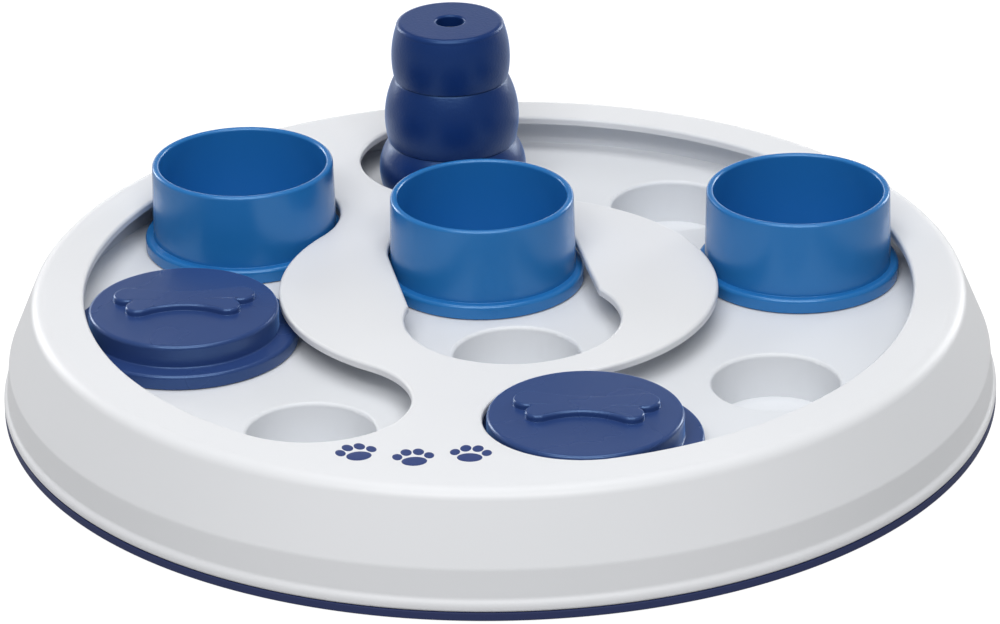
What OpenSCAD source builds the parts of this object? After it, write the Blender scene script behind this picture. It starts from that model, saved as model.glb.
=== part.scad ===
// Round sliding puzzle board for dogs, in millimetres.
// The origin is the board's centre on the ground, +Z points up and -Y is the front.

/* [Board] */
// Radius of the circle on which the outer sliders run
track_r = 98.6; // [92:0.2:106]
// Width of the board outside the sliders' floor
rim_w = 19.6; // [17:0.2:30]
// Height of the cover's outer ring above the ground
top_z = 37.2; // [36:0.1:42]
// How much lower the island in the middle lies
dish = 1.8; // [0:0.1:2.4]
// Thickness of the cover's top
cover_t = 2.7; // [2:0.1:3]
// Thickness of the cover's skirt, measured level
skirt_t = 2.9; // [2:0.1:3.4]
// How far the top's outer corner lies in from the board's edge
shoulder_in = 10.9; // [9:0.1:12]
// Rounding of the top's outer corner
shoulder_round = 3; // [0.5:0.1:4]
// Height at which the skirt turns steep
waist_z = 15.8; // [12:0.1:19]
// How far that turn lies in from the board's edge
waist_in = 2; // [1.8:0.1:2.6]
// Rounding of that turn
waist_round = 12; // [4:0.5:20]
// Height of the bead round the skirt's foot
bead_h = 4; // [2.4:0.1:4.2]
// How far the skirt lies in from the board's edge just above the bead
bead_in = 1.1; // [1:0.1:1.6]

/* [Foot ring] */
// Height of the rubber ring below the skirt
foot_h = 2.8; // [2.5:0.1:5]
// Width of the rubber ring
foot_w = 8.6; // [8:0.1:12]
// Rounding of its lower edges
foot_round = 0.8; // [0.2:0.1:1.2]
// Height of the tongue that fits inside the cover's skirt
tongue_h = 4.5; // [3:0.1:6]
// Thickness of that tongue
tongue_w = 3.2; // [2.6:0.1:4]
// Clearance beside the tongue
tongue_gap = 0.2; // [0.1:0.05:0.3]

/* [Tray] */
// Height of the floor on which the sliders run
floor_z = 25.3; // [23:0.1:26]
// Thickness of the floor, the wells and the tray's skirt
tray_t = 2.4; // [1.8:0.1:2.6]
// Thickness of the wall round the sliders' floor
wall_t = 2.2; // [1.6:0.1:2.4]
// Clearance between the tray and the cover
shell_gap = 0.4; // [0.2:0.1:0.6]
// Radius of a treat well at its mouth
well_r = 19.5; // [16:0.1:21]
// Depth of a treat well
well_depth = 14; // [10:0.1:16]
// How much narrower a well is at its floor
well_taper = 0.8; // [0:0.1:1.5]
// Rounding of a well's mouth
well_round = 1.2; // [0.4:0.1:2]
// Distance of the two middle wells from the centre
middle_well_r = 30; // [29:0.1:32]

/* [Slots] */
// Direction of the right slot's front end
right_start = -75.5; // [-77:0.1:-74]
// Direction of the right slot's back end, where the tower stands
right_end = 98.3; // [97:0.1:99]
// Direction of the left slot's back end
left_start = 144.8; // [144:0.1:148]
// Direction of the left slot's front end
left_end = 234.9; // [232:0.1:236]
// Direction in which the middle slot runs to its front end
middle_dir = -80; // [-85:0.1:-75]
// Clearance between the widest outer slider and the slot's edge
slot_gap = 0.8; // [0.5:0.1:1.2]
// Clearance between the middle cup and its slot's edge
middle_gap = 0.6; // [0.4:0.1:1]
// How much the middle slot's front end is widened
bulb_extra = 3.3; // [0:0.1:3.6]
// Clearance between the widest outer flange and the wall round the floor
lane_gap = 1.7; // [0.6:0.1:2]
// Room between the middle cup's flange and the outer sliders' lane at both ends of its run
middle_end_gap = 2.5; // [1:0.1:4]
// Clearance of a slider above the floor
run_gap = 0.2; // [0.1:0.05:0.3]

/* [Cups] */
// Radius of a cup where it meets its flange
cup_foot_r = 29.4; // [26:0.1:29.4]
// Radius of a cup at its rim
cup_rim_r = 28.9; // [25:0.1:29.4]
// Radius of a cup's flange
cup_flange_r = 32; // [31:0.1:33]
// Height of a cup's flange
cup_flange_h = 4.8; // [3:0.1:5.5]
// Height of a cup above the floor
cup_h = 28.9; // [20:0.1:36]
// Thickness of a cup's wall and floor
cup_t = 2.2; // [1.6:0.1:3]
// Rounding of the flange's upper edge
flange_round = 1.1; // [0.3:0.1:1.5]
// Rounding of the flanges' lower edge and foot
cup_edge = 0.4; // [0.1:0.1:0.6]
// Direction of the left cup
cup_left_dir = 145.3; // [145.3:0.1:148]
// Direction of the right cup
cup_right_dir = 16; // [12:0.1:40]

/* [Discs] */
// Radius of a disc's raised puck
disc_r = 29.3; // [26:0.1:29.4]
// Radius of a disc's flange
disc_flange_r = 35.2; // [32:0.1:35.4]
// Height of a disc's flange
disc_flange_h = 4.8; // [3:0.1:5.5]
// Height of a disc above the floor, without its bone
disc_h = 12; // [9:0.1:14]
// Thickness of a disc's wall and top
disc_t = 2.4; // [1.8:0.1:3]
// Rounding of a disc's upper edge
disc_round = 0.9; // [0.3:0.1:1.4]
// Direction of the left disc
disc_left_dir = 189.5; // [186:0.1:200]
// Direction of the front disc
disc_front_dir = -75.3; // [-75.3:0.1:-60]
// Height of the bone on a disc
bone_h = 2; // [0.8:0.1:3]
// Half the distance between the bone's two front knobs
bone_front_x = 13.3; // [11:0.1:14]
// Radius of a front knob
bone_front_r = 4.3; // [3.5:0.1:4.8]
// Half the distance between the bone's two back knobs
bone_back_x = 17.2; // [15:0.1:18]
// Radius of a back knob
bone_back_r = 4.7; // [3.8:0.1:5]
// Distance from the front knobs to the back knobs
bone_depth = 8.4; // [7:0.1:9]
// Place of the front knobs in front of the disc's centre
bone_front_y = -3.3; // [-6:0.1:0]
// How far the front edge's arch reaches inside the front knobs' centres
bone_front_sink = 0.5; // [0:0.1:3]
// How far the back edge's arch stays outside the back knobs' centres
bone_back_rise = 1.9; // [0.5:0.1:3]
// Half the bone's length at the notch between its knobs
bone_notch_x = 15.7; // [14:0.1:16.5]
// Direction of the left disc's bone
bone_left_dir = 0; // [-90:1:90]
// Direction of the front disc's bone
bone_front_dir = -5; // [-90:1:90]

/* [Tower] */
// Height of the tower above the floor
tower_h = 59.3; // [50:0.1:70]
// Radius of its flat top
tower_top_r = 17.6; // [15:0.1:18.4]
// Radius of the top bulge
bulge_top_r = 19.3; // [18.8:0.1:20]
// Radius of the middle bulge
bulge_mid_r = 21.9; // [21.2:0.1:22.6]
// Radius of the lowest bulge
bulge_low_r = 24; // [23:0.1:24.4]
// Radius of the upper crease
crease_top_r = 18.6; // [17.6:0.1:18.7]
// Radius of the lower crease
crease_low_r = 20.8; // [19.8:0.1:21]
// Radius of the tower's foot on the floor
tower_foot_r = 22.4; // [21:0.1:22.8]
// Height of the foot's straight edge above the floor
bulge_foot_z = 1; // [0.5:0.1:2]
// Height of the lowest bulge above the floor
bulge_low_z = 8; // [6:0.1:10]
// Height of the lower crease above the floor
crease_low_z = 18.2; // [17:0.1:20]
// Height of the middle bulge above the floor
bulge_mid_z = 26; // [24:0.1:29]
// Height of the upper crease above the floor
crease_top_z = 40.2; // [38:0.1:42]
// Height of the top bulge above the floor
bulge_top_z = 47.5; // [45:0.1:49]
// Rounding of the edge of its flat top
top_edge = 0.8; // [0.3:0.1:1.2]
// Radius of the hole in its top
hole_r = 4.2; // [3:0.1:6]
// Thickness of the rubber at the creases
tower_t = 4; // [3:0.1:5]
// How deep the tower's spigot reaches into its well
spigot_h = 6; // [4:0.1:8]
// Clearance between the spigot and the well
spigot_gap = 0.5; // [0.3:0.1:0.8]

/* [Screws] */
// Radius of a screw's shank
screw_r = 1.4; // [1.2:0.05:1.6]
// Radius of a screw's head
screw_head_r = 2.7; // [2.4:0.1:2.9]
// Height of a screw's head
screw_head_h = 1.8; // [1.4:0.1:2.4]
// How far a screw reaches into its boss
screw_reach = 6; // [4:0.1:6.4]
// Radius of a boss
boss_r = 3.2; // [2.8:0.1:3.4]
// How many screws hold the rim
rim_screws = 6; // [4:1:8]

/* [Hidden] */
$fn = 96;

// Half widths of the slots and of the outer sliders' lane below them
slot_half = max(cup_foot_r, disc_r) + slot_gap;
lane_half = max(cup_flange_r, disc_flange_r) + lane_gap;
middle_half = cup_foot_r + middle_gap;

// Radii of the board, from the track outwards and inwards
lane_out_r = track_r + lane_half;
lane_in_r = track_r - lane_half;
board_r = lane_out_r + rim_w;
slot_out_r = track_r + slot_half;
slot_in_r = track_r - slot_half;

// How much fuller a slot's round ends are than its curved sides, so that the arcs cross cleanly
end_relief = 0.03;

// How far the middle cup's centre runs to either side of the board's
middle_reach = lane_in_r - cup_flange_r - middle_end_gap;

// Points of the shell's outer and inner outlines
shoulder_r = board_r - shoulder_in;
waist_r = board_r - waist_in;
bead_r = bead_h / 2;
lean = (waist_r - shoulder_r) / (top_z - waist_z);
under_z = top_z - cover_t;
tongue_out_r = waist_r - skirt_t - tongue_gap;

// The wells: along the right slot, along the left slot and in the middle
right_wells = [for (i = [0 : 4]) right_start + (right_end - right_start) * i / 4];
left_wells = [for (i = [0 : 2]) left_start + (left_end - left_start) * i / 2];
well_places = concat(
    [for (a = concat(right_wells, left_wells)) track_r * [cos(a), sin(a)]],
    [for (s = [-1, 1]) s * middle_well_r * [cos(middle_dir), sin(middle_dir)]]);

// The screws: round the rim, beside the two bridges' roots and in the island, clear of every flange
rim_screw_r = lane_out_r + wall_t + boss_r + shell_gap;
bridge_dirs = [(right_end + left_start) / 2, (left_end + right_start + 360) / 2];
bridge_in = 28;
bridge_screw_r = track_r - bridge_in;
island_screw_r = (cup_flange_r + lane_in_r) / 2;
screw_places = concat(
    [for (i = [0 : rim_screws - 1]) rim_screw_r * [cos(i * 360 / rim_screws), sin(i * 360 / rim_screws)]],
    [for (a = bridge_dirs) bridge_screw_r * [cos(a), sin(a)]],
    [for (s = [-90, 90]) island_screw_r * [cos(middle_dir + s), sin(middle_dir + s)]]);
bore_gap = 0.05;
hole_gap = 0.3;

shell_white = [0.93, 0.94, 0.96];
tray_white = [0.9, 0.91, 0.93];
cup_blue = [0.13, 0.37, 0.64];
navy = [0.17, 0.22, 0.42];
steel = [0.7, 0.7, 0.72];
// Larger than anything in the model, for cutting
far = 400;

// Arc that rounds the corner b between its neighbours a and c
function corner(a, b, c, r, steps = 8) =
    let (
        u = (a - b) / norm(a - b),
        v = (c - b) / norm(c - b),
        half = acos(u * v) / 2,
        centre = b + (u + v) / norm(u + v) * r / sin(half),
        first = b + u * r / tan(half) - centre,
        sweep = sign(cross(v, u)) * (180 - 2 * half)
    )
    [for (i = [0 : steps]) centre + turned(first, sweep * i / steps)];

function turned(p, a) = [p[0] * cos(a) - p[1] * sin(a), p[0] * sin(a) + p[1] * cos(a)];

// Closed outline with each corner rounded by its own radius
function rounded(points, radii) =
    let (n = len(points))
    [for (i = [0 : n - 1])
        each radii[i] > 0
            ? corner(points[(i + n - 1) % n], points[i], points[(i + 1) % n], radii[i])
            : [points[i]]];

// Arc through the points a, b and c
function arc(a, b, c, steps = 12) =
    let (
        d = 2 * cross(b - a, c - a),
        bb = (b - a) * (b - a),
        cc = (c - a) * (c - a),
        centre = a + [(c - a)[1] * bb - (b - a)[1] * cc, (b - a)[0] * cc - (c - a)[0] * bb] / d,
        from = a - centre,
        to = c - centre,
        sweep = atan2(cross(from, to), from * to)
    )
    [for (i = [0 : steps]) centre + turned(from, sweep * i / steps)];

// Flat sector of the plane between two directions
module wedge(start, end) {
    steps = 6;
    polygon(concat([[0, 0]], [for (i = [0 : steps]) let (a = start + (end - start) * i / steps) far * [cos(a), sin(a)]]));
}

// Outline of a slot that follows the track, with round ends
module track_slot(start, end) {
    intersection() {
        difference() {
            circle(r = slot_out_r);
            circle(r = slot_in_r);
        }
        wedge(start, end);
    }
    for (a = [start, end]) rotate(a) translate([track_r, 0]) circle(r = slot_half + end_relief);
}

module track_slots() {
    track_slot(right_start, right_end);
    track_slot(left_start, left_end);
}

// The slot through the island, with its widened front end
module middle_slot() {
    rotate(middle_dir) {
        translate([-middle_reach, -middle_half]) square([2 * middle_reach, 2 * middle_half]);
        translate([-middle_reach, 0]) circle(r = middle_half);
        translate([middle_reach - bulb_extra, 0]) circle(r = middle_half + bulb_extra);
    }
}

// Half outline of the space under the cover, down to the height bottom
module under_cover(bottom, gap) {
    polygon([
        [0, bottom],
        [waist_r - skirt_t - gap, bottom],
        [waist_r - skirt_t - gap, waist_z],
        [shoulder_r + lean * (top_z - under_z) - skirt_t - gap, under_z - gap],
        [slot_out_r, under_z - gap],
        [slot_in_r, under_z - dish - gap],
        [0, under_z - dish - gap]
    ]);
}

module cover_outline() {
    difference() {
        union() {
            polygon(rounded([
                [0, foot_h],
                [board_r - bead_r, foot_h],
                [board_r - bead_in, foot_h + bead_h],
                [waist_r, waist_z],
                [shoulder_r, top_z],
                [slot_out_r, top_z],
                [slot_in_r, top_z - dish],
                [0, top_z - dish]
            ], [0, 0, 0, waist_round, shoulder_round, 0, 0, 0]));
            translate([board_r - bead_r, foot_h + bead_r]) circle(r = bead_r);
        }
        under_cover(-1, 0);
    }
}

module top_cover() {
    color(shell_white)
    difference() {
        union() {
            difference() {
                rotate_extrude() cover_outline();
                linear_extrude(far) track_slots();
                linear_extrude(far) middle_slot();
            }
            intersection() {
                for (p = screw_places) translate([p[0], p[1], floor_z]) cylinder(r = boss_r, h = far);
                rotate_extrude() under_cover(0, -cover_t / 2);
            }
        }
        for (p = screw_places) translate([p[0], p[1], 0]) cylinder(r = screw_r + bore_gap, h = floor_z + screw_reach);
    }
}

// Half outline of the tray's floor, the wall round it and the skirt, which stands on the foot ring's tongue
module tray_outline() {
    difference() {
        intersection() {
            under_cover(foot_h + tongue_h, shell_gap);
            square([far, floor_z]);
        }
        intersection() {
            translate([-tray_t, 0]) under_cover(0, shell_gap);
            square([far, floor_z - tray_t]);
        }
    }
    intersection() {
        under_cover(0, bore_gap);
        translate([lane_out_r, floor_z - tray_t / 2]) square([wall_t, far]);
    }
}

// Space inside a well, with a rounded mouth; its origin is the middle of the mouth
module well_space() {
    rotate_extrude() difference() {
        polygon([
            [0, -well_depth],
            [well_r - well_taper, -well_depth],
            [well_r, -well_round],
            [well_r + well_round, -well_round],
            [well_r + well_round, 1],
            [0, 1]
        ]);
        translate([well_r + well_round, -well_round]) circle(r = well_round);
    }
}

// Outside of a well, from its floor up into the tray's floor
module well_shell() {
    translate([0, 0, -well_depth - tray_t])
        cylinder(r1 = well_r - well_taper + tray_t, r2 = well_r + tray_t, h = well_depth + tray_t);
}

module slide_tray() {
    color(tray_white)
    difference() {
        union() {
            rotate_extrude() tray_outline();
            for (p = well_places) translate([p[0], p[1], floor_z]) well_shell();
        }
        for (p = well_places) translate([p[0], p[1], floor_z]) well_space();
        for (p = screw_places) translate([p[0], p[1], 0]) cylinder(r = screw_r + hole_gap, h = floor_z + 1);
    }
}

module non_slip_ring() {
    color(navy)
    rotate_extrude() {
        polygon(rounded([
            [board_r - foot_w, 0],
            [board_r, 0],
            [board_r, foot_h],
            [board_r - foot_w, foot_h]
        ], [foot_round, foot_round, 0, 0]));
        translate([tongue_out_r - tongue_w, foot_h / 2]) square([tongue_w, foot_h / 2 + tongue_h]);
    }
}

module cover_screws() {
    color(steel)
    for (p = screw_places) translate([p[0], p[1], floor_z - tray_t - screw_head_h]) {
        cylinder(r = screw_head_r, h = screw_head_h);
        cylinder(r = screw_r, h = screw_head_h + tray_t + screw_reach);
    }
}

// Half outline of a cup, with its origin on the tray's floor
module cup_outline() {
    inner_foot_r = cup_foot_r - cup_t;
    inner_rim_r = cup_rim_r - cup_t;
    polygon(rounded([
        [0, run_gap],
        [cup_flange_r, run_gap],
        [cup_flange_r, cup_flange_h],
        [cup_foot_r, cup_flange_h],
        [cup_rim_r, cup_h],
        [inner_rim_r, cup_h],
        [inner_foot_r, run_gap + cup_t],
        [0, run_gap + cup_t]
    ], [0, cup_edge, flange_round, cup_edge, cup_t * 0.45, cup_t * 0.45, cup_t, 0]));
}

// A cup at the distance reach from the board's centre
module cup(reach, dir) {
    color(cup_blue)
    rotate(dir) translate([reach, 0, floor_z]) rotate_extrude() cup_outline();
}

module cup_left() {
    cup(track_r, cup_left_dir);
}

module cup_centre() {
    cup(-middle_reach, middle_dir);
}

module cup_right() {
    cup(track_r, cup_right_dir);
}

// Radius of the arch between two knobs of radius k at +-x, whose top lies s inside the knobs' centres
function arch_r(x, s, k) = (x * x + s * s - k * k) / (2 * (k + s));

// Outline of the bone, with its long axis along X and its front edge arched
module bone_outline() {
    front_y = bone_front_y;
    back_y = front_y + bone_depth;
    front_arch = arch_r(bone_front_x, bone_front_sink, bone_front_r);
    back_arch = arch_r(bone_back_x, -bone_back_rise, bone_back_r);
    difference() {
        union() {
            for (s = [-1, 1]) {
                translate([s * bone_front_x, front_y]) circle(r = bone_front_r);
                translate([s * bone_back_x, back_y]) circle(r = bone_back_r);
            }
            polygon([
                [-bone_front_x, front_y - bone_front_r],
                [bone_front_x, front_y - bone_front_r],
                [bone_notch_x, front_y],
                [bone_back_x, back_y],
                [bone_back_x, back_y + bone_back_r],
                [-bone_back_x, back_y + bone_back_r],
                [-bone_back_x, back_y],
                [-bone_notch_x, front_y]
            ]);
        }
        translate([0, front_y + bone_front_sink - front_arch]) circle(r = front_arch, $fn = 180);
        translate([0, back_y + bone_back_rise + back_arch]) circle(r = back_arch, $fn = 180);
    }
}

// Half outline of a disc, open underneath
module disc_outline() {
    polygon(rounded([
        [disc_r - disc_t, run_gap],
        [disc_flange_r, run_gap],
        [disc_flange_r, disc_flange_h],
        [disc_r, disc_flange_h],
        [disc_r, disc_h],
        [0, disc_h],
        [0, disc_h - disc_t],
        [disc_r - disc_t, disc_h - disc_t]
    ], [0, cup_edge, flange_round, cup_edge, disc_round, 0, 0, disc_t / 2]));
}

// A disc with its bone turned to the direction bone_dir
module disc(dir, bone_dir) {
    color(navy)
    translate([track_r * cos(dir), track_r * sin(dir), floor_z]) {
        rotate_extrude() disc_outline();
        translate([0, 0, disc_h - disc_t / 2]) rotate(bone_dir) linear_extrude(disc_t / 2 + bone_h) bone_outline();
    }
}

module disc_left() {
    disc(disc_left_dir, bone_left_dir);
}

module disc_front() {
    disc(disc_front_dir, bone_front_dir);
}

module tower_outline() {
    inner_top_r = crease_top_r - tower_t;
    inner_foot_r = well_r - well_taper - spigot_gap - tower_t;
    polygon(concat(
        [[inner_foot_r, -spigot_h], [well_r - well_taper - spigot_gap, -spigot_h]],
        [[well_r - well_taper - spigot_gap, run_gap], [tower_foot_r, run_gap]],
        arc([tower_foot_r, bulge_foot_z], [bulge_low_r, bulge_low_z], [crease_low_r, crease_low_z]),
        arc([crease_low_r, crease_low_z], [bulge_mid_r, bulge_mid_z], [crease_top_r, crease_top_z]),
        arc([crease_top_r, crease_top_z], [bulge_top_r, bulge_top_z], [tower_top_r, tower_h - top_edge]),
        corner([tower_top_r, tower_h - top_edge], [tower_top_r, tower_h], [hole_r, tower_h], top_edge),
        [[hole_r, tower_h], [hole_r, tower_h - tower_t], [inner_top_r, tower_h - tower_t]],
        [[inner_top_r, crease_low_z]]
    ));
}

module treat_tower() {
    color(navy)
    rotate(right_end) translate([track_r, 0, floor_z]) rotate_extrude() tower_outline();
}

top_cover();
slide_tray();
non_slip_ring();
cover_screws();
cup_left();
cup_centre();
cup_right();
disc_left();
disc_front();
treat_tower();
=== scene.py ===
import math

import bmesh
import bpy
import numpy as np
from mathutils import Matrix, Vector
from mathutils.geometry import delaunay_2d_cdt


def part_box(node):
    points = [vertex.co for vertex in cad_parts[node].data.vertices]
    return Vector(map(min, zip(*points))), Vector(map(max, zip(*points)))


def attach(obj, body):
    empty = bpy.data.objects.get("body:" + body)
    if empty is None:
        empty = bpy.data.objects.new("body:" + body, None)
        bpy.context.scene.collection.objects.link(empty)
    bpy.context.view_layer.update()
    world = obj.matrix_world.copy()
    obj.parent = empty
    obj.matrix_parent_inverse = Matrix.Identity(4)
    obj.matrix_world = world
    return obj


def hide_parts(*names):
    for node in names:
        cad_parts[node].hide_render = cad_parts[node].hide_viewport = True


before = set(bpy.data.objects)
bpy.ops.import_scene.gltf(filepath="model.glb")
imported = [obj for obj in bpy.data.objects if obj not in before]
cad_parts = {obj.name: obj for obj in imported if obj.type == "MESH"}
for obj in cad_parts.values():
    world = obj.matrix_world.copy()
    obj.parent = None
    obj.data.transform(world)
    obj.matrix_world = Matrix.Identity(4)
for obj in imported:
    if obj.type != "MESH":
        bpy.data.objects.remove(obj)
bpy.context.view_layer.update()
mm = 0.001
print("frame loaded:", len(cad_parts), "nodes")


# Outlines and meshes. Lengths are in millimetres until a mesh is made, and angles are in degrees.

def polar(radius, angle):
    # plan point at a radius and an angle from the board's centre
    return np.array([radius * math.cos(math.radians(angle)), radius * math.sin(math.radians(angle))])


def angleFrom(centre, point):
    # direction from centre to point
    return math.degrees(math.atan2(point[1] - centre[1], point[0] - centre[0]))


def turned(points, angle):
    # plan points turned about the origin
    c, s = math.cos(math.radians(angle)), math.sin(math.radians(angle))
    return points @ np.array([[c, s], [-s, c]])


def unitVector(v):
    return v / np.linalg.norm(v)


def arcLine(centre, radius, start, end, steps):
    # points on a circle from the angle start to the angle end
    t = np.radians(np.linspace(start, end, steps + 1))
    return np.c_[centre[0] + radius * np.cos(t), centre[1] + radius * np.sin(t)]


def cornerArc(a, b, c, radius, steps):
    # rounds the corner b between a and c: the arc's centre lies on the bisector,
    # at a distance of the radius over the sine of half the angle
    u, v = unitVector(a - b), unitVector(c - b)
    half = math.acos(np.clip(u @ v, -1, 1)) / 2
    centre = b + unitVector(u + v) * radius / math.sin(half)
    x, y = b + u * radius / math.tan(half) - centre
    t = np.linspace(0, np.sign(v[0] * u[1] - v[1] * u[0]) * (math.pi - 2 * half), steps + 1)
    return centre + np.c_[x * np.cos(t) - y * np.sin(t), x * np.sin(t) + y * np.cos(t)]


def roundedLine(points, radii, steps=8, support=0.12):
    # an open line with rounded corners; each straight stretch longer than four supports gets a point
    # close to both its ends, so that smooth shading stays even on it
    p = np.array(points, float)
    runs = [p[:1]]
    for i in range(1, len(p) - 1):
        runs.append(cornerArc(p[i - 1], p[i], p[i + 1], radii[i], steps) if radii[i] > 0 else p[i:i + 1])
    runs.append(p[-1:])
    line = [runs[0]]
    for before, after in zip(runs, runs[1:]):
        a, b = before[-1], after[0]
        length = np.linalg.norm(b - a)
        if length > 4 * support:
            inset = (b - a) * support / length
            line.append(np.array([a + inset, b - inset]))
        line.append(after)
    return np.concatenate(line)


def gridQuads(rows, columns):
    # faces of a grid whose points are stored row by row, with the last column joined to the first
    i, j = np.meshgrid(np.arange(rows - 1), np.arange(columns), indexing="ij")
    here, beside = i * columns + j, i * columns + (j + 1) % columns
    return np.stack([here, beside, beside + columns, here + columns], -1).reshape(-1, 4)


def spunGrid(profile, centre, turns):
    # a profile of radius and height carried round the upright line through centre, in as many steps as turns
    t = np.arange(turns) / turns * 2 * math.pi
    r, z = profile[:, :1], np.repeat(profile[:, 1:], turns, 1)
    points = np.stack([centre[0] + r * np.cos(t), centre[1] + r * np.sin(t), z], -1).reshape(-1, 3)
    return points, gridQuads(len(profile), turns)


def makePiece(name, parts, body, material):
    # one smooth mesh from pairs of points and faces, with its seams welded and its faces outwards
    seam, speck = 2e-6, 1e-6  # metres
    points, faces, start = [], [], 0
    for p, f in parts:
        points.append(p)
        faces += (np.array(f) + start).tolist()
        start += len(p)
    mesh = bpy.data.meshes.new(name)
    mesh.from_pydata(np.concatenate(points) * mm, [], faces)
    work = bmesh.new()
    work.from_mesh(mesh)
    bmesh.ops.remove_doubles(work, verts=work.verts, dist=seam)
    bmesh.ops.dissolve_degenerate(work, dist=speck, edges=work.edges)
    bmesh.ops.recalc_face_normals(work, faces=work.faces)
    work.to_mesh(mesh)
    work.free()
    mesh.shade_smooth()
    mesh.materials.append(material)
    piece = bpy.data.objects.new(name, mesh)
    bpy.context.scene.collection.objects.link(piece)
    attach(piece, body)
    return piece


def middleOf(node):
    # plan centre and lowest height of a CAD node
    low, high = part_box(node)
    return ((low.x + high.x) / 2 / mm, (low.y + high.y) / 2 / mm), low.z / mm


# Materials

moulding = {"grainDetail": 3, "patchDetail": 2, "patchScale": 12, "wearScale": 45,
            "bumpDistance": 0.0001, "sheenRoughness": 0.3, "sheenTint": (0.22, 0.46, 1, 1)}


def addSockets(group, way, kind, names):
    for name in names:
        group.interface.new_socket(name, in_out=way, socket_type="NodeSocket" + kind)


def setInputs(node, values):
    for name, value in values.items():
        node.inputs[name].default_value = value


def grainGroup():
    # fine moulded grain: a height for Bump, and a roughness that spreads a little with a wider pattern
    group = bpy.data.node_groups.new("mouldedGrain", "ShaderNodeTree")
    addSockets(group, "INPUT", "Float", ("Grain Scale", "Roughness", "Spread"))
    addSockets(group, "OUTPUT", "Float", ("Height", "Roughness"))
    nodes, links = group.nodes, group.links
    given, out = nodes.new("NodeGroupInput"), nodes.new("NodeGroupOutput")
    place = nodes.new("ShaderNodeTexCoord")
    grain, wear = nodes.new("ShaderNodeTexNoise"), nodes.new("ShaderNodeTexNoise")
    setInputs(grain, {"Detail": moulding["grainDetail"]})
    setInputs(wear, {"Scale": moulding["wearScale"]})
    spread = nodes.new("ShaderNodeMath")
    spread.operation = "MULTIPLY_ADD"
    links.new(place.outputs["Object"], grain.inputs["Vector"])
    links.new(place.outputs["Object"], wear.inputs["Vector"])
    links.new(given.outputs["Grain Scale"], grain.inputs["Scale"])
    links.new(wear.outputs["Fac"], spread.inputs[0])
    links.new(given.outputs["Spread"], spread.inputs[1])
    links.new(given.outputs["Roughness"], spread.inputs[2])
    links.new(grain.outputs["Fac"], out.inputs["Height"])
    links.new(spread.outputs[0], out.inputs["Roughness"])
    return group


def tintGroup():
    # slow, faint change of tone over a moulded surface
    group = bpy.data.node_groups.new("mouldedTint", "ShaderNodeTree")
    addSockets(group, "INPUT", "Color", ("Colour", "Shade"))
    addSockets(group, "INPUT", "Float", ("Patch Scale",))
    addSockets(group, "OUTPUT", "Color", ("Colour",))
    nodes, links = group.nodes, group.links
    given, out = nodes.new("NodeGroupInput"), nodes.new("NodeGroupOutput")
    place, patches = nodes.new("ShaderNodeTexCoord"), nodes.new("ShaderNodeTexNoise")
    setInputs(patches, {"Detail": moulding["patchDetail"]})
    blend = nodes.new("ShaderNodeMix")
    blend.data_type = "RGBA"
    links.new(place.outputs["Object"], patches.inputs["Vector"])
    links.new(given.outputs["Patch Scale"], patches.inputs["Scale"])
    links.new(patches.outputs["Fac"], blend.inputs["Factor"])
    links.new(given.outputs["Colour"], blend.inputs["A"])
    links.new(given.outputs["Shade"], blend.inputs["B"])
    links.new(blend.outputs["Result"], out.inputs["Colour"])
    return group


def linear(red, green, blue):
    # screen colour from 0 to 255 to the linear colour that a shader takes
    c = np.array([red, green, blue]) / 255
    return (*np.where(c <= 0.04045, c / 12.92, ((c + 0.055) / 1.055) ** 2.4), 1)


def newMaterial(name):
    material = bpy.data.materials.new(name)
    material.use_nodes = True
    nodes, links = material.node_tree.nodes, material.node_tree.links
    return material, nodes, links, nodes["Principled BSDF"]


def mouldedMaterial(name, look):
    # plastic or rubber from the mould: a faint tint, a fine grain and, where given, a coloured sheen
    material, nodes, links, shader = newMaterial(name)
    grain, tint, bump = (nodes.new("ShaderNode" + kind) for kind in ("Group", "Group", "Bump"))
    grain.node_tree, tint.node_tree = mouldedGrain, mouldedTint
    setInputs(grain, {"Grain Scale": look["grainScale"], "Roughness": look["roughness"],
                      "Spread": look["spread"]})
    setInputs(tint, {"Colour": linear(*look["colour"]), "Shade": linear(*look["shade"]),
                     "Patch Scale": moulding["patchScale"]})
    setInputs(bump, {"Strength": look["bump"], "Distance": moulding["bumpDistance"]})
    setInputs(shader, {"Specular IOR Level": look["specular"],
                       "Specular Tint": look.get("glint", (1, 1, 1, 1)),
                       "Sheen Weight": look.get("sheen", 0),
                       "Sheen Roughness": moulding["sheenRoughness"],
                       "Sheen Tint": moulding["sheenTint"]})
    links.new(tint.outputs["Colour"], shader.inputs["Base Color"])
    links.new(grain.outputs["Roughness"], shader.inputs["Roughness"])
    links.new(grain.outputs["Height"], bump.inputs["Height"])
    links.new(bump.outputs["Normal"], shader.inputs["Normal"])
    return material


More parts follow.
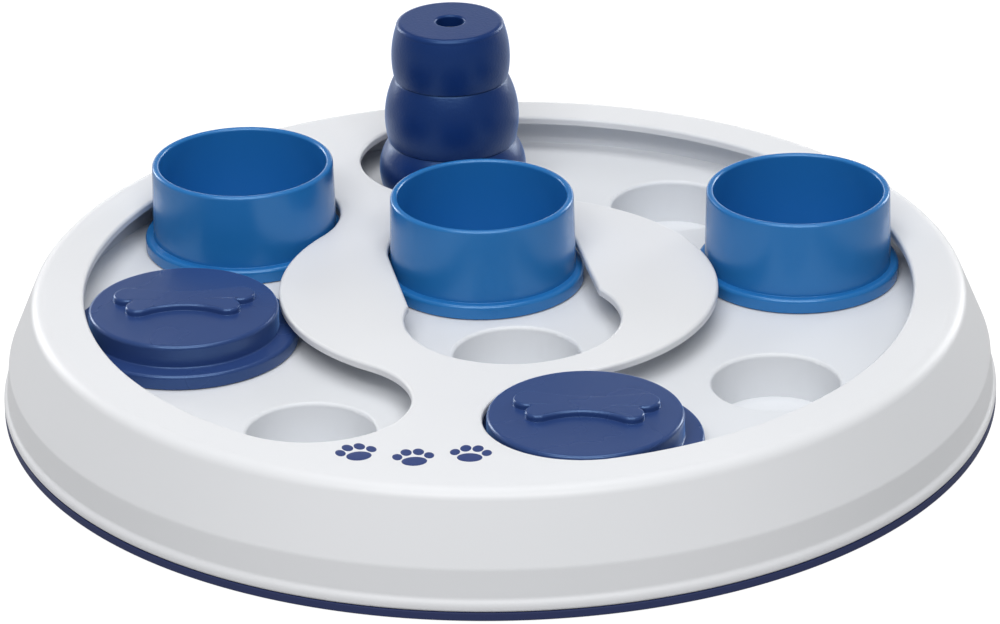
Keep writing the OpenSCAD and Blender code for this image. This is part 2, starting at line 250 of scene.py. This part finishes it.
finishes = {
    "shellWhite": {"colour": (215, 216, 219), "shade": (211, 213, 216), "roughness": 0.36, "spread": 0.06,
                   "grainScale": 2600, "bump": 0.12, "specular": 0.4},
    "trayWhite": {"colour": (213, 215, 219), "shade": (209, 212, 216), "roughness": 0.42, "spread": 0.06,
                  "grainScale": 2600, "bump": 0.12, "specular": 0.35},
    "cupBlue": {"colour": (34, 107, 172), "shade": (29, 103, 167), "roughness": 0.22, "spread": 0.05,
                "grainScale": 3000, "bump": 0.15, "specular": 0.75, "glint": (0.55, 0.8, 1, 1)},
    "discNavy": {"colour": (40, 61, 112), "shade": (36, 57, 106), "roughness": 0.24, "spread": 0.06,
                 "grainScale": 3000, "bump": 0.18, "specular": 0.8, "sheen": 0.6,
                 "glint": (0.42, 0.66, 1, 1)},
    "towerRubber": {"colour": (16, 43, 98), "shade": (13, 39, 92), "roughness": 0.31, "spread": 0.06,
                    "grainScale": 1100, "bump": 0.6, "specular": 0.62, "sheen": 0.44,
                    "glint": (0.34, 0.6, 1, 1)},
    "ringRubber": {"colour": (40, 50, 92), "shade": (34, 44, 84), "roughness": 0.6, "spread": 0.08,
                   "grainScale": 1800, "bump": 0.3, "specular": 0.3},
    "printNavy": {"colour": (40, 58, 112), "shade": (36, 54, 106), "roughness": 0.45, "spread": 0.04,
                  "grainScale": 3000, "bump": 0.1, "specular": 0.4},
}

mouldedGrain, mouldedTint = grainGroup(), tintGroup()
materials = {name: mouldedMaterial(name, look) for name, look in finishes.items()}

steel = {"colour": (0.55, 0.55, 0.57, 1), "grainScale": 900, "roughness": 0.28, "spread": 0.15}


def steelMaterial():
    material, nodes, links, shader = newMaterial("screwSteel")
    grain = nodes.new("ShaderNodeGroup")
    grain.node_tree = mouldedGrain
    setInputs(grain, {"Grain Scale": steel["grainScale"], "Roughness": steel["roughness"],
                      "Spread": steel["spread"]})
    setInputs(shader, {"Metallic": 1, "Base Color": steel["colour"]})
    links.new(grain.outputs["Roughness"], shader.inputs["Roughness"])
    return material


materials["screwSteel"] = steelMaterial()
print("materials made:", len(materials))


# Top cover

cover = {
    "track": 98.6, "slotHalf": 30.2, "boardRadius": 155.1,
    "topZ": 37.2, "dish": 1.8, "thick": 2.7, "lip": 1.0, "lowerLip": 0.4,
    "rightSlot": (-75.5, 98.3), "leftSlot": (144.8, 234.9),
    "middleDir": -80, "middleHalf": 30, "middleReach": 27.2, "bulb": 3.3,
    "shoulderIn": 10.9, "shoulderRound": 5, "waistIn": 2, "waistZ": 15.8, "waistRound": 4,
    "beadIn": 1.1, "beadTop": 4.0, "beadEdge": 2.4, "beadRounds": (2, 2.6, 1.2),
    "footZ": 2.8, "skirt": 2.9, "insideRounds": (0.4, 6, 1),
    "capIn": 6, "underIn": 8,  # from the shoulder in to the regions that the slots cut
    "bridgeRings": (71, 127, 15),  # first and last radius, and how many
    "bridgeStep": 1.5, "bridgeClear": 1.2,
    "boss": 3.2, "floorZ": 25.3, "bosses": ((70.6, 121.55), (70.6, 259.7), (46.85, 10), (46.85, 190)),
    "near": 0.15,  # how close a support point stands to a rounding
    "turns": 360, "bossTurns": 48, "endSteps": 60, "bulbSteps": 90, "sideSteps": 23,
    "lipPoints": 9, "lowPoints": 5,
}


def coverTop(r):
    # height of the cover's top: level on the island and on the rim, and a cone between them
    inner, outer = cover["track"] - cover["slotHalf"], cover["track"] + cover["slotHalf"]
    return cover["topZ"] - cover["dish"] * (1 - np.clip((r - inner) / (outer - inner), 0, 1))


def onTop(p, lift=0):
    # plan points raised to the cover's top and by lift above it
    return np.c_[p, coverTop(np.hypot(p[:, 0], p[:, 1])) + lift]


def trackOutline(start, end, grow):
    # slot along the track, grown outwards by grow: outer arc, round end, inner arc back, round end
    half, steps = cover["slotHalf"] + grow, int(abs(end - start))
    first, last = polar(cover["track"], start), polar(cover["track"], end)
    return np.concatenate([
        arcLine((0, 0), cover["track"] + half, start, end, steps)[:-1],
        arcLine(last, half, end, end + 180, cover["endSteps"])[:-1],
        arcLine((0, 0), cover["track"] - half, end, start, steps)[:-1],
        arcLine(first, half, start + 180, start + 360, cover["endSteps"])[:-1]])


def middleOutline(grow):
    # straight slot through the island, grown by grow, with a wider round front end
    half, wide = cover["middleHalf"] + grow, cover["middleHalf"] + cover["bulb"] + grow
    front, back = cover["middleReach"] - cover["bulb"], -cover["middleReach"]
    meet = math.degrees(math.asin(half / wide))
    join = front - wide * math.cos(math.radians(meet))
    share = np.linspace(0, 1, cover["sideSteps"] + 1)[:-1, None]
    side = lambda a, b: np.array(a) + (np.array(b) - np.array(a)) * share
    along = np.concatenate([
        arcLine((front, 0), wide, meet - 180, 180 - meet, cover["bulbSteps"])[:-1],
        side([join, half], [back, half]),
        arcLine((back, 0), half, 90, 270, cover["endSteps"])[:-1],
        side([back, -half], [join, -half])])
    return turned(along, cover["middleDir"])


slotOutlines = [
    lambda grow: trackOutline(*cover["rightSlot"], grow),
    lambda grow: trackOutline(*cover["leftSlot"], grow),
    middleOutline]


def insideLoop(points, loop):
    # a point is inside where a ray to the right crosses the loop an odd number of times
    a, b = loop, np.roll(loop, -1, 0)
    x, y = points[:, :1], points[:, 1:]
    spans = (a[:, 1] > y) != (b[:, 1] > y)
    with np.errstate(divide="ignore", invalid="ignore"):
        cross = a[:, 0] + (y - a[:, 1]) * (b[:, 0] - a[:, 0]) / (b[:, 1] - a[:, 1])
    return (np.sum(spans & (x < cross), 1) % 2).astype(bool)


def filledRegion(rim, holes, extra, lift):
    # region inside rim and outside the holes, cut into triangles and raised to the cover's top and by lift
    loops, merge = [rim, *holes], 1e-4  # points as close as merge become one
    points = np.concatenate([*loops, extra])
    edges, start = [], 0
    for loop in loops:
        n = len(loop)
        edges += [(start + i, start + (i + 1) % n) for i in range(n)]
        start += n
    made = delaunay_2d_cdt([Vector(p) for p in points], edges, [], 0, merge)
    p, faces = np.array([tuple(v) for v in made[0]]), np.array(made[2])
    middle = p[faces].mean(1)
    keep = insideLoop(middle, rim)
    for hole in holes:
        keep &= ~insideLoop(middle, hole)
    return onTop(p, lift), faces[keep]


def bridgePoints():
    # points on the cone between island and rim, clear of the slots, so that the bridges follow it
    around = np.radians(np.arange(0, 360, cover["bridgeStep"]))
    r, a = np.meshgrid(np.linspace(*cover["bridgeRings"]), around)
    points = np.c_[(r * np.cos(a)).ravel(), (r * np.sin(a)).ravel()]
    clear = cover["lip"] + cover["bridgeClear"]
    return points[~np.any([insideLoop(points, outline(clear)) for outline in slotOutlines], 0)]


def slotEdge(outline):
    # the edge of a slot: a rounded lip, the wall and a small rounding below,
    # as growth of the outline and drop from the cover's top along its profile
    lip, low, thick, near = cover["lip"], cover["lowerLip"], cover["thick"], cover["near"]
    t, q = (np.radians(np.linspace(0, 90, cover[key])) for key in ("lipPoints", "lowPoints"))
    grow = np.concatenate([[lip + near], lip * (1 - np.sin(t)), [0, 0],
                           low * (1 - np.cos(q)), [low + near]])
    drop = np.concatenate([[0], lip * (1 - np.cos(t)), [lip + near, thick - low - near],
                           thick - low + low * np.sin(q), [thick]])
    rings = [onTop(outline(g), -d) for g, d in zip(grow, drop)]
    return np.concatenate(rings), gridQuads(len(rings), len(rings[0]))


def coverProfile(under):
    # from the cap over shoulder, waist and bead to the foot, and back up inside the skirt to the height under
    boardRadius, foot, top = cover["boardRadius"], cover["footZ"], cover["topZ"]
    shoulder, waist = boardRadius - cover["shoulderIn"], boardRadius - cover["waistIn"]
    lean, inner = (waist - shoulder) / (top - cover["waistZ"]), waist - cover["skirt"]
    return roundedLine([
        (shoulder - cover["capIn"], top), (shoulder, top), (waist, cover["waistZ"]),
        (boardRadius - cover["beadIn"], foot + cover["beadTop"]), (boardRadius, foot + cover["beadEdge"]),
        (boardRadius, foot), (inner, foot), (inner, cover["waistZ"]),
        (shoulder + lean * cover["thick"] - cover["skirt"], under), (shoulder - cover["underIn"], under)],
        [0, cover["shoulderRound"], cover["waistRound"], *cover["beadRounds"], *cover["insideRounds"], 0],
        steps=10)


def coverMesh():
    under, low, reach = cover["topZ"] - cover["thick"], cover["floorZ"], cover["boss"]
    profile, bridges = coverProfile(under), bridgePoints()
    circle = lambda r: arcLine((0, 0), r, 0, 360, cover["turns"])[:-1]
    upperHoles = [outline(cover["lip"] + cover["near"]) for outline in slotOutlines]
    lowerHoles = [outline(cover["lowerLip"] + cover["near"]) for outline in slotOutlines]
    boss = np.array([(0, low), (reach, low), (reach, under), (0, under)])
    return [
        spunGrid(profile, (0, 0), cover["turns"]),
        *[spunGrid(boss, polar(*place), cover["bossTurns"]) for place in cover["bosses"]],
        filledRegion(circle(profile[0, 0]), upperHoles, bridges, 0),
        filledRegion(circle(profile[-1, 0]), lowerHoles, bridges, -cover["thick"]),
        *[slotEdge(outline) for outline in slotOutlines]]


coverPiece = makePiece("coverShell", coverMesh(), "board", materials["shellWhite"])
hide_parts("top_cover")
print("cover made:", len(coverPiece.data.polygons), "faces")


# Foot ring

ringSize = {"radius": 155.1, "width": 8.6, "height": 2.8, "round": 0.8, "edge": 0.3,
            "tongueOut": 150.0, "tongue": 3.2, "tongueTop": 7.3, "turns": 360}


def ringMesh():
    # round the section from the tongue's outer foot, along the outer edge, the underside and the tongue
    s = ringSize
    inner, tongueIn, edge = s["radius"] - s["width"], s["tongueOut"] - s["tongue"], s["edge"]
    profile = roundedLine([
        (s["tongueOut"], s["height"]), (s["radius"], s["height"]), (s["radius"], 0),
        (inner, 0), (inner, s["height"]), (tongueIn, s["height"]), (tongueIn, s["tongueTop"]),
        (s["tongueOut"], s["tongueTop"]), (s["tongueOut"], s["height"])],
        [0, edge, s["round"], s["round"], edge, 0, edge, edge, 0], steps=6)
    return [spunGrid(profile, (0, 0), s["turns"])]


ringPiece = makePiece("footRing", ringMesh(), "board", materials["ringRubber"])
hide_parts("non_slip_ring")
print("foot ring made")


# Cups

cup = {"flange": 32, "flangeTop": 4.8, "foot": 29.4, "rim": 28.9, "height": 28.9, "wall": 2.2,
       "gap": 0.2, "underRound": 0.5, "flangeRound": 1.2, "footRound": 0.12, "rimRound": 1.0,
       "rimInner": 0.9, "floorRound": 2.2, "turns": 180}


def cupMesh(node):
    # from the middle of the underside over the flange, up the wall to the rim and down inside to the floor
    centre, low = middleOf(node)
    base, gap, wall = low - cup["gap"], cup["gap"], cup["wall"]
    profile = roundedLine([
        (0, gap), (cup["flange"], gap), (cup["flange"], cup["flangeTop"]), (cup["foot"], cup["flangeTop"]),
        (cup["rim"], cup["height"]), (cup["rim"] - wall, cup["height"]), (cup["foot"] - wall, gap + wall),
        (0, gap + wall)],
        [0, cup["underRound"], cup["flangeRound"], cup["footRound"], cup["rimRound"], cup["rimInner"],
         cup["floorRound"], 0])
    return [spunGrid(profile + [0, base], centre, cup["turns"])]


for side in ("left", "centre", "right"):
    piece = makePiece(side + "Cup", cupMesh("cup_" + side), side + "_cup", materials["cupBlue"])
    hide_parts("cup_" + side)
print("cups made")


# Discs with a bone in relief

disc = {"flange": 35.2, "flangeTop": 4.8, "puck": 29.3, "height": 12, "wall": 2.4, "gap": 0.2,
        "roofRound": 1.2, "innerRound": 0.3, "underRound": 0.5, "flangeRound": 1.1, "footRound": 0.5,
        "topRound": 1.2, "turns": 180}
bone = {"turns": {"left": 0, "front": -5}, "height": 2, "frontX": 13.8, "frontY": -3.4, "frontR": 3.9,
        "backX": 17.2, "backY": 5.1, "backR": 4.7, "frontSink": 0.4, "backRise": 1.9, "notchX": 15.7,
        "round": 0.9, "backSharp": 0.7, "foot": 0.1, "root": 0.6, "nearEdge": 0.12, "nearWall": 0.05,
        "heart": (0, 1.2), "capShares": (0.75, 0.5, 0.25, 0),
        "archSteps": 24, "frontSteps": 26, "backSteps": 30, "edgePoints": 7}


def archRadius(x, sink, knob):
    # radius of the arch that touches two knobs at plus and minus x and reaches sink past their centres' line
    return (x * x + sink * sink - knob * knob) / (2 * (knob + sink))


def boneOutline():
    # half the outline from the middle of the front edge to the middle of the back edge, then its mirror image
    front, back = np.array([bone["frontX"], bone["frontY"]]), np.array([bone["backX"], bone["backY"]])
    frontArch = archRadius(bone["frontX"], bone["frontSink"], bone["frontR"])
    backArch = archRadius(bone["backX"], -bone["backRise"], bone["backR"])
    frontCentre = np.array([0, bone["frontY"] + bone["frontSink"] - frontArch])
    backCentre = np.array([0, bone["backY"] + bone["backRise"] + backArch])
    frontTouch, backTouch = angleFrom(frontCentre, front), angleFrom(backCentre, back)
    # a straight line through notch and the back knob's centre joins the two knobs;
    # reach is how far along it the front knob ends
    notch = np.array([bone["notchX"], bone["frontY"]])
    along, gap = unitVector(back - notch), notch - front
    reach = -(gap @ along) + math.sqrt((gap @ along) ** 2 - gap @ gap + bone["frontR"] ** 2)
    frontEnd, backEnd = notch + along * reach, back - along * bone["backR"]
    half = np.concatenate([
        arcLine(frontCentre, frontArch, 90, frontTouch, bone["archSteps"])[:-1],
        arcLine(front, bone["frontR"], frontTouch - 180, angleFrom(front, frontEnd), bone["frontSteps"]),
        arcLine(back, bone["backR"], angleFrom(back, backEnd), backTouch + 180, bone["backSteps"])[:-1],
        arcLine(backCentre, backArch, backTouch, -90, bone["archSteps"])[:-1]])
    middle = np.array([[0, backCentre[1] - backArch]])
    return np.concatenate([half, middle, (half * [-1, 1])[:0:-1]])


def boneMesh(centre, top, turn):
    # the outline carried up a small fillet, the wall and a rounded edge; cap and root each close in one point
    outline = boneOutline()
    tangent = np.roll(outline, -1, 0) - np.roll(outline, 1, 0)
    normal = np.c_[tangent[:, 1], -tangent[:, 0]] / np.linalg.norm(tangent, axis=1)[:, None]
    foot, height, level = bone["foot"], bone["height"], np.ones(len(outline))
    soft = bone["round"] * (1 - bone["backSharp"] * np.clip(normal[:, 1], 0, 1))  # the back edge is crisper
    q = np.radians(np.linspace(0, 90, bone["edgePoints"]))[:, None]
    out = np.vstack([foot * level, foot * (1 - np.sin(q)) * level, 0 * level,
                     -soft * (1 - np.cos(q)), -soft - bone["nearEdge"]])
    up = np.vstack([-bone["root"] * level, foot * (1 - np.cos(q)) * level, height - soft - bone["nearWall"],
                    height - soft + soft * np.sin(q), height * level])
    rings = [np.c_[outline + normal * o[:, None], top + u] for o, u in zip(out, up)]
    heart, cap = np.array(bone["heart"]), rings[-1][:, :2]
    rings += [np.c_[heart + (cap - heart) * s, (top + height) * level] for s in bone["capShares"]]
    root = np.c_[heart * level[:, None], rings[0][:, 2:]]
    points = np.concatenate([root, *rings])
    return np.c_[turned(points[:, :2], turn) + centre, points[:, 2]], gridQuads(len(rings) + 1, len(outline))


def discMesh(node, turn):
    # from the middle of the hollow's roof down inside, over the flange and up the wall to the top's middle
    centre, low = middleOf(node)
    base, gap, puck, flange = low - disc["gap"], disc["gap"], disc["puck"], disc["flange"]
    inner, roof = puck - disc["wall"], disc["height"] - disc["wall"]
    profile = roundedLine([
        (0, roof), (inner, roof), (inner, gap), (flange, gap), (flange, disc["flangeTop"]),
        (puck, disc["flangeTop"]), (puck, disc["height"]), (0, disc["height"])],
        [0, disc["roofRound"], disc["innerRound"], disc["underRound"], disc["flangeRound"], disc["footRound"],
         disc["topRound"], 0])
    body = spunGrid(profile + [0, base], centre, disc["turns"])
    return [body, boneMesh(centre, base + disc["height"], turn)]


for side, turn in bone["turns"].items():
    parts = discMesh("disc_" + side, turn)
    piece = makePiece(side + "Disc", parts, side + "_disc", materials["discNavy"])
    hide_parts("disc_" + side)
print("discs made")


# Treat tower

tower = {"height": 59.3, "topRadius": 17.6, "topEdge": 1.6, "hole": 4.6, "holeEdge": 0.8, "wall": 4,
         "footRadius": 22.4, "footZ": 1, "lowBulge": (24, 8), "lowCrease": (20.8, 18.2),
         "midBulge": (21.9, 26), "topCrease": (18.6, 40.2), "topBulge": (19.3, 47.5),
         "groove": 0.8, "grooveHalf": 0.3, "spigot": 18.2, "spigotDepth": 6, "gap": 0.2,
         "footRounds": (0.5, 0.2, 0.4), "insideRounds": (0.3, 1), "nearEdge": 0.01, "turns": 180}


def throughThree(a, b, c, steps=14, near=0.01):
    # arc through three points, its centre as far from each of them; near is the share of the arc
    # at which a close point stands by each end, which keeps a crease crisp
    a, b, c = (np.array(p, float) for p in (a, b, c))
    u, v = b - a, c - a
    d = 2 * (u[0] * v[1] - u[1] * v[0])
    centre = a + np.array([v[1] * (u @ u) - u[1] * (v @ v), u[0] * (v @ v) - v[0] * (u @ u)]) / d
    start, end = math.atan2(*(a - centre)[::-1]), math.atan2(*(c - centre)[::-1])
    turn = (end - start + math.pi) % (2 * math.pi) - math.pi
    t = start + turn * np.concatenate([[0, near], np.linspace(0, 1, steps + 1)[1:-1], [1 - near, 1]])
    return centre + np.linalg.norm(a - centre) * np.c_[np.cos(t), np.sin(t)]


def towerMesh():
    # up the outside from the spigot over three bulges to the hole, and down inside to the spigot again
    s = tower
    centre, low = middleOf("treat_tower")
    base, top, edge, depth = low + s["spigotDepth"], s["height"], s["topEdge"], -s["spigotDepth"]
    neck, bore = s["topCrease"][0] - s["wall"], s["spigot"] - s["wall"]
    foot = roundedLine([(bore, depth), (s["spigot"], depth), (s["spigot"], s["gap"]),
                        (s["footRadius"], s["gap"]), (s["footRadius"], s["footZ"])],
                       [0, *s["footRounds"], 0], steps=5)
    crown = roundedLine([(s["topRadius"], top - edge - s["nearEdge"]), (s["topRadius"], top),
                         (s["hole"], top), (s["hole"], top - s["wall"]), (neck, top - s["wall"]),
                         (neck, s["lowCrease"][1]), (bore, depth)],
                        [0, edge, s["holeEdge"], *s["insideRounds"], 0, 0], steps=6)
    creases = s["lowCrease"], s["topCrease"]
    below, above = ([(r, z + d) for r, z in creases] for d in (-s["grooveHalf"], s["grooveHalf"]))
    grooves = [np.array([[r - s["groove"], z]]) for r, z in creases]
    profile = np.concatenate([
        foot[:-1], throughThree((s["footRadius"], s["footZ"]), s["lowBulge"], below[0]), grooves[0],
        throughThree(above[0], s["midBulge"], below[1]), grooves[1],
        throughThree(above[1], s["topBulge"], (s["topRadius"], top - edge))[:-1], crown])
    return [spunGrid(profile + [0, base], centre, s["turns"])]


towerPiece = makePiece("rubberTower", towerMesh(), "tower", materials["towerRubber"])
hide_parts("treat_tower")
print("tower made")


# Nodes that keep their own shape

for node, material in {"slide_tray": "trayWhite", "cover_screws": "screwSteel"}.items():
    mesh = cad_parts[node].data
    mesh.materials.clear()
    mesh.materials.append(materials[material])


# Printed paws on the cover's front: places as x, y, size and turn, pads as middle and half widths
# in shares of the size, and rings as share of the pad and height above the cover

paws = {
    "places": ((-42, -119, 7.5, 16), (-25.5, -123, 7.5, 6), (-9, -121, 7.5, -6)),
    "pads": ((0, -0.28, 0.5, 0.4), (-0.62, 0.18, 0.2, 0.29), (-0.24, 0.55, 0.22, 0.31),
             (0.24, 0.55, 0.22, 0.31), (0.62, 0.18, 0.2, 0.29)),
    "rings": ((1, -0.2), (1, 0), (0.93, 0.04), (0.5, 0.04), (0, 0.04)), "step": 10,
}


def pawPrint(x, y, size, turn):
    # one broad pad and four toes: ellipses that follow the cover's top
    t = np.radians(np.arange(0, 360, paws["step"]))
    parts = []
    for u, v, wide, high in paws["pads"]:
        rings = []
        for share, lift in paws["rings"]:
            oval = np.c_[u + share * wide * np.cos(t), v + share * high * np.sin(t)] * size
            rings.append(onTop(turned(oval, turn) + [x, y], lift))
        parts.append((np.concatenate(rings), gridQuads(len(rings), len(t))))
    return parts


pawParts = [part for place in paws["places"] for part in pawPrint(*place)]
makePiece("pawPrints", pawParts, "board", materials["printNavy"])
print("paw prints made")


# Floor, light and camera, in metres and watts

floorLook = {"half": 6, "z": -0.0002,  # a hair below the foot ring, so that the two faces don't coincide
             "colour": (0.2, 0.2, 0.2, 1), "roughness": 0.9, "glow": 0.387, "seenGlow": 0.533}


def makeFloor():
    # the floor glows, so that the shadows on it stay faint, and by seenGlow more where the camera sees it
    mesh = bpy.data.meshes.new("floor")
    half, z = floorLook["half"], floorLook["z"]
    corners = [(-half, -half, z), (half, -half, z), (half, half, z), (-half, half, z)]
    mesh.from_pydata(corners, [], [(0, 1, 2, 3)])
    floor = bpy.data.objects.new("floor", mesh)
    bpy.context.scene.collection.objects.link(floor)
    material, nodes, links, shader = newMaterial("floorWhite")
    path, glow = nodes.new("ShaderNodeLightPath"), nodes.new("ShaderNodeMath")
    glow.operation = "MULTIPLY_ADD"
    glow.inputs[1].default_value = floorLook["seenGlow"]
    glow.inputs[2].default_value = floorLook["glow"]
    setInputs(shader, {"Base Color": floorLook["colour"], "Roughness": floorLook["roughness"],
                       "Specular IOR Level": 0, "Emission Color": (1, 1, 1, 1)})
    links.new(path.outputs["Is Camera Ray"], glow.inputs[0])
    links.new(glow.outputs[0], shader.inputs["Emission Strength"])
    mesh.materials.append(material)


lights = {
    "top": {"place": (0, 0.05, 1.7), "size": (1.2, 0.9), "power": 12.5},
    "high": {"place": (-0.1, -1.15, 1.5), "size": (1.8, 0.35), "power": 21.5},
    "front": {"place": (-0.1, -1.45, 1.3), "size": (1.8, 0.45), "power": 3},
    "low": {"place": (0, 2.0, 0.22), "size": (3.4, 0.4), "power": 9},
    "left": {"place": (-1.2, 1.2, 0.45), "size": (0.45, 0.8), "power": 8.5},
    "right": {"place": (1.2, 1.2, 0.45), "size": (0.45, 0.8), "power": 7.8},
}
worldLight = 0.29


def makeLights():
    # area lights that all face the board's centre, and an even white light from everywhere
    for name, look in lights.items():
        data = bpy.data.lights.new(name + "Light", "AREA")
        data.shape = "RECTANGLE"
        data.size, data.size_y = look["size"]
        data.energy = look["power"]
        lamp = bpy.data.objects.new(name + "Light", data)
        lamp.location = look["place"]
        lamp.rotation_euler = (-Vector(look["place"])).to_track_quat("-Z", "Y").to_euler()
        bpy.context.scene.collection.objects.link(lamp)
    world = bpy.data.worlds.new("studio")
    world.use_nodes = True
    setInputs(world.node_tree.nodes["Background"], {"Color": (1, 1, 1, 1), "Strength": worldLight})
    bpy.context.scene.world = world
    bpy.context.scene.view_settings.view_transform = "Standard"


shot = {"distance": 1.6733, "height": 25.92, "tilt": -0.80, "yaw": 0.013, "roll": -1.00,
        "lens": 191.7, "sensor": 36}


def makeCamera():
    # the camera stands in front at the given height angle, and looks at the centre but for tilt, yaw and roll
    up, side, roll = (math.radians(angle) for angle in (shot["height"], shot["yaw"], shot["roll"]))
    down = math.radians(shot["height"] + shot["tilt"])
    data = bpy.data.cameras.new("camera")
    data.lens, data.sensor_width = shot["lens"], shot["sensor"]
    camera = bpy.data.objects.new("camera", data)
    ahead = Vector((math.sin(side) * math.cos(down), math.cos(side) * math.cos(down), -math.sin(down)))
    right = ahead.cross(Vector((0, 0, 1))).normalized()
    above = right.cross(ahead)
    tiltedRight = right * math.cos(roll) + above * math.sin(roll)
    tiltedUp = above * math.cos(roll) - right * math.sin(roll)
    place = Vector((0, -math.cos(up), math.sin(up))) * shot["distance"]
    turn = Matrix((tiltedRight, tiltedUp, -ahead)).transposed()
    camera.matrix_world = Matrix.Translation(place) @ turn.to_4x4()
    bpy.context.scene.collection.objects.link(camera)
    bpy.context.scene.camera = camera


makeFloor()
makeLights()
makeCamera()
print("scene ready")
